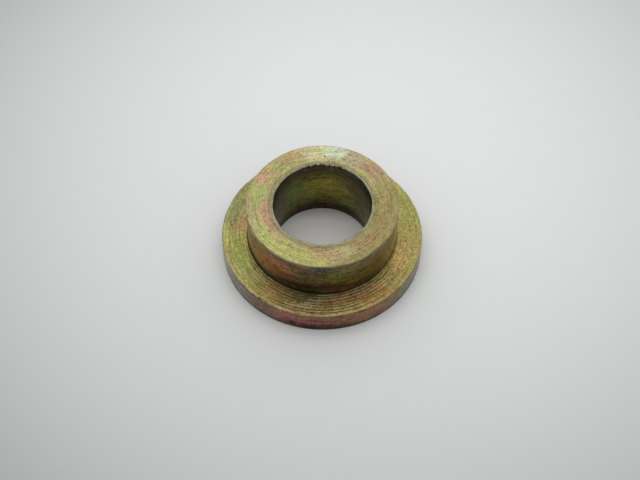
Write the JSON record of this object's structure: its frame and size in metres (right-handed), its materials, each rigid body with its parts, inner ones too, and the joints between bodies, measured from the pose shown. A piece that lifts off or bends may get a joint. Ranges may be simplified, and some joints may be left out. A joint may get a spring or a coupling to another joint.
{
  "type": "flanged bushing",
  "caption": "Short turned steel bushing with a wide thin flange at one end and a straight bore right through, for spacing a bolt or axle in a larger hole.",
  "frame": {"origin": "centre of the flange's flat end face, on the bore's axis", "axes": "+Z along the bore's axis, from the flange's end face to the boss's end face; +X and +Y are any two square directions, because the piece is round"},
  "size_m": [0.025, 0.025, 0.0088],
  "materials": {
    "plated_steel": "turned steel with a yellow zinc plating, dull gold to green with patches of pink and orange, and the lathe's marks left in its faces"
  },
  "bodies": {
    "root": {"bushing": "plated_steel"}
  },
  "joints": []
}
